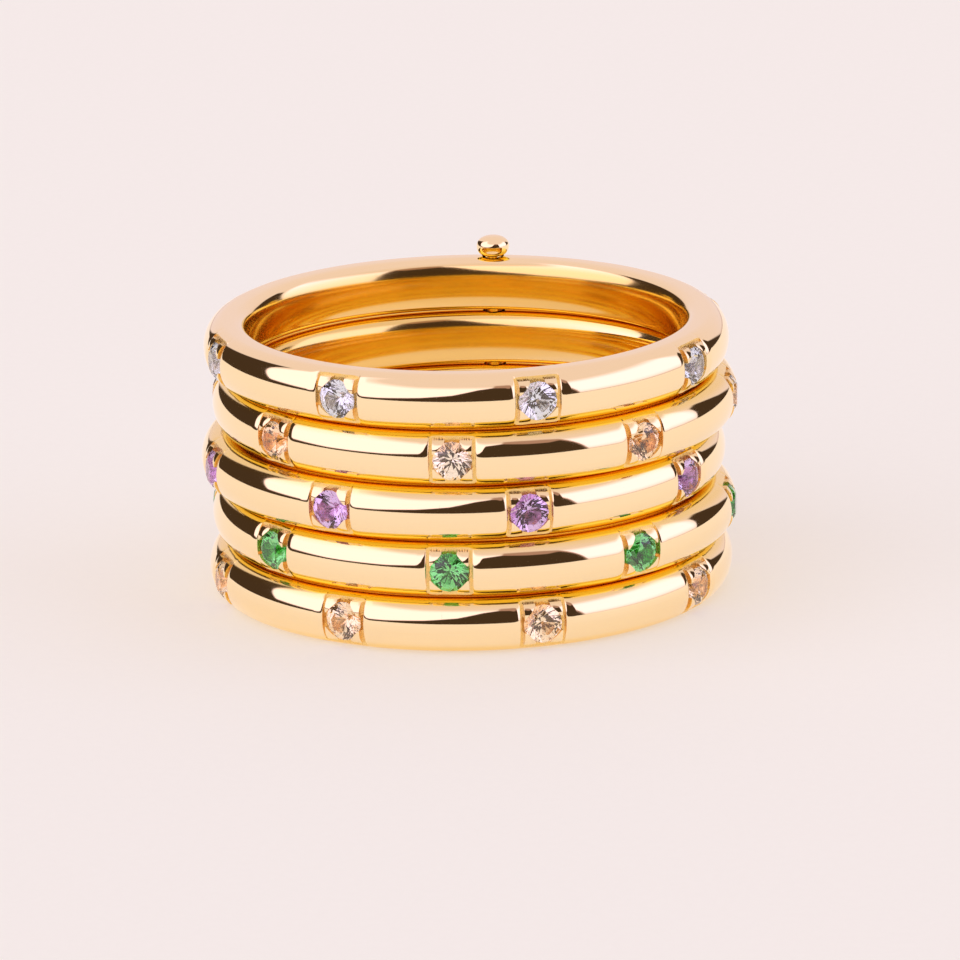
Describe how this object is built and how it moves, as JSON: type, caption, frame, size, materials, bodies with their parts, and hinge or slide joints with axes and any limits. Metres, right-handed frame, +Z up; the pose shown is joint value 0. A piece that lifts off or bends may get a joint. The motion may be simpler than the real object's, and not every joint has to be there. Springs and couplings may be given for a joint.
{
  "type": "stacked gemstone finger ring",
  "caption": "Wide finger ring of stacked round gold bands on one pivot pin, each set with small coloured brilliants in square claw pockets; the bands swing out like leaves.",
  "frame": {"origin": "middle of the underside of the ring as it lies flat on a surface", "axes": "+Z up through the finger hole, -Y the front that shows the stones, pivot pin on +Y"},
  "size_m": [0.0215, 0.021, 0.0121],
  "materials": {
    "gold": "mirror-polished yellow gold",
    "ice_blue_sapphire": "faceted pale blue sapphire",
    "champagne_sapphire": "faceted champagne stone",
    "peach_sapphire": "faceted peach-orange sapphire",
    "amethyst": "faceted light amethyst",
    "tsavorite": "faceted green garnet",
    "blush_sapphire": "faceted blush-peach sapphire"
  },
  "bodies": {
    "leaf_1": {"band_1": "gold", "stone_1_1": "ice_blue_sapphire", "stone_1_2": "ice_blue_sapphire", "stone_1_3": "ice_blue_sapphire", "stone_1_4": "ice_blue_sapphire", "stone_1_5": "ice_blue_sapphire", "stone_1_6": "ice_blue_sapphire", "stone_1_7": "ice_blue_sapphire", "stone_1_8": "ice_blue_sapphire"},
    "leaf_2": {"band_2": "gold", "stone_2_1": "champagne_sapphire", "stone_2_2": "peach_sapphire", "stone_2_3": "champagne_sapphire", "stone_2_4": "peach_sapphire", "stone_2_5": "peach_sapphire", "stone_2_6": "champagne_sapphire", "stone_2_7": "peach_sapphire"},
    "leaf_3": {"band_3": "gold", "stone_3_1": "amethyst", "stone_3_2": "amethyst", "stone_3_3": "amethyst", "stone_3_4": "amethyst", "stone_3_5": "amethyst", "stone_3_6": "amethyst", "stone_3_7": "amethyst", "stone_3_8": "amethyst"},
    "leaf_4": {"band_4": "gold", "stone_4_1": "tsavorite", "stone_4_2": "tsavorite", "stone_4_3": "tsavorite", "stone_4_4": "tsavorite", "stone_4_5": "tsavorite", "stone_4_6": "tsavorite", "stone_4_7": "tsavorite"},
    "bottom": {"band_5": "gold", "stone_5_1": "blush_sapphire", "stone_5_2": "blush_sapphire", "stone_5_3": "blush_sapphire", "stone_5_4": "blush_sapphire", "stone_5_5": "blush_sapphire", "stone_5_6": "blush_sapphire", "stone_5_7": "blush_sapphire", "stone_5_8": "blush_sapphire", "pivot_pin": "gold"}
  },
  "joints": [
    {"name": "band_1_swing", "type": "hinge", "parent": "bottom", "child": "leaf_1", "pos_m": [0, 0.00955, 0.0101], "axis": [0, 0, 1], "continuous": true},
    {"name": "band_2_swing", "type": "hinge", "parent": "bottom", "child": "leaf_2", "pos_m": [0, 0.00955, 0.00785], "axis": [0, 0, 1], "continuous": true},
    {"name": "band_3_swing", "type": "hinge", "parent": "bottom", "child": "leaf_3", "pos_m": [0, 0.00955, 0.0056], "axis": [0, 0, 1], "continuous": true},
    {"name": "band_4_swing", "type": "hinge", "parent": "bottom", "child": "leaf_4", "pos_m": [0, 0.00955, 0.00335], "axis": [0, 0, 1], "continuous": true}
  ]
}
